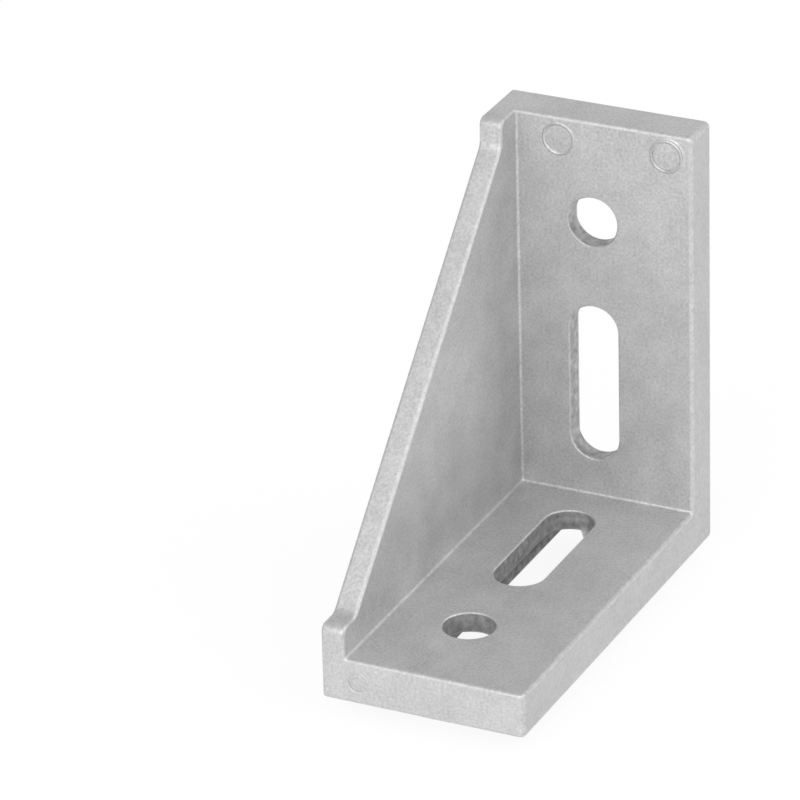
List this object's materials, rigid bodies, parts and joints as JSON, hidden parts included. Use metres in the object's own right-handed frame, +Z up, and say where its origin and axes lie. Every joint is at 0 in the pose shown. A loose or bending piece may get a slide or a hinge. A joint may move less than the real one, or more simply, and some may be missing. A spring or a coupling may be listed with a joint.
{
  "type": "corner bracket for slotted framing",
  "caption": "Die-cast right-angle bracket with two slotted legs, a triangular side plate, ribbed seats and locating lugs.",
  "frame": {"origin": "the outer corner where the two seating planes meet, at the middle of the bracket's width; in use it lies on the inner corner between two framing bars", "axes": "+X along the foot from the corner to its free end, +Z up along the upright leg, +Y across the width towards the open side; the side plate stands at -Y, and the seats face -Z and -X"},
  "size_m": [0.0811, 0.0364, 0.081],
  "materials": {
    "casting": "as cast and tumbled, matt, with bright worn edges"
  },
  "bodies": {
    "root": {"bracket": "casting"}
  },
  "joints": []
}
